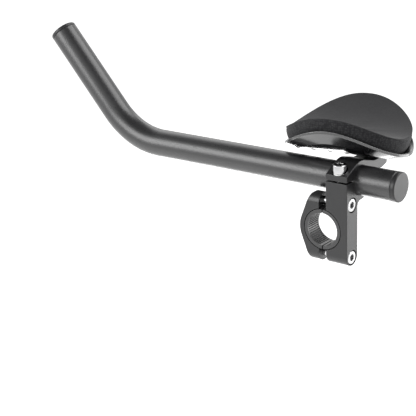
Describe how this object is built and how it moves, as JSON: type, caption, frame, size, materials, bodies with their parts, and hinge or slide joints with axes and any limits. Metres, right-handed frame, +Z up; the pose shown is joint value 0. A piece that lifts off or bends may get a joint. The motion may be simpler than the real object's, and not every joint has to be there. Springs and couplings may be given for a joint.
{
  "type": "aero handlebar extension",
  "caption": "Clip-on aero handlebar extension for the right hand: bent tube in a pinch clamp on a split bar clamp with reducing shims, and a padded trough armrest on an outer boss.",
  "frame": {"origin": "middle of the handlebar bore, at half the clamp's width", "axes": "+X forward along the straight tube, +Y inward along the handlebar towards the bicycle's middle, +Z up"},
  "size_m": [0.3331, 0.0898, 0.1533],
  "materials": {
    "bracket_metal": "satin black anodised, bead blasted",
    "tube_metal": "satin black anodised",
    "shim_metal": "dark anodised, ridged",
    "screw_steel": "bright zinc plated",
    "plug_plastic": "satin black moulded",
    "cup_plastic": "gloss black moulded",
    "fastener_tape": "black hook-and-loop tape",
    "pad_fabric": "charcoal stretch fabric over foam"
  },
  "bodies": {
    "bracket": {"bracket_body": "bracket_metal", "bar_clamp_cap": "bracket_metal", "upper_bar_bolt": "screw_steel", "lower_bar_bolt": "screw_steel", "front_shim": "shim_metal", "rear_shim": "shim_metal", "tube_pinch_bolt": "screw_steel", "tube_pinch_washer": "screw_steel", "arm_cup": "cup_plastic", "armrest_bolt": "screw_steel", "armrest_washer": "screw_steel", "pad_fastener_strips": "fastener_tape", "arm_pad": "pad_fabric"},
    "extension": {"extension_tube": "tube_metal", "front_end_plug": "plug_plastic", "rear_end_plug": "plug_plastic"}
  },
  "joints": [
    {"name": "extension_slide", "type": "slide", "parent": "bracket", "child": "extension", "axis": [1, 0, 0], "range_m": [-0.08, 0]}
  ]
}
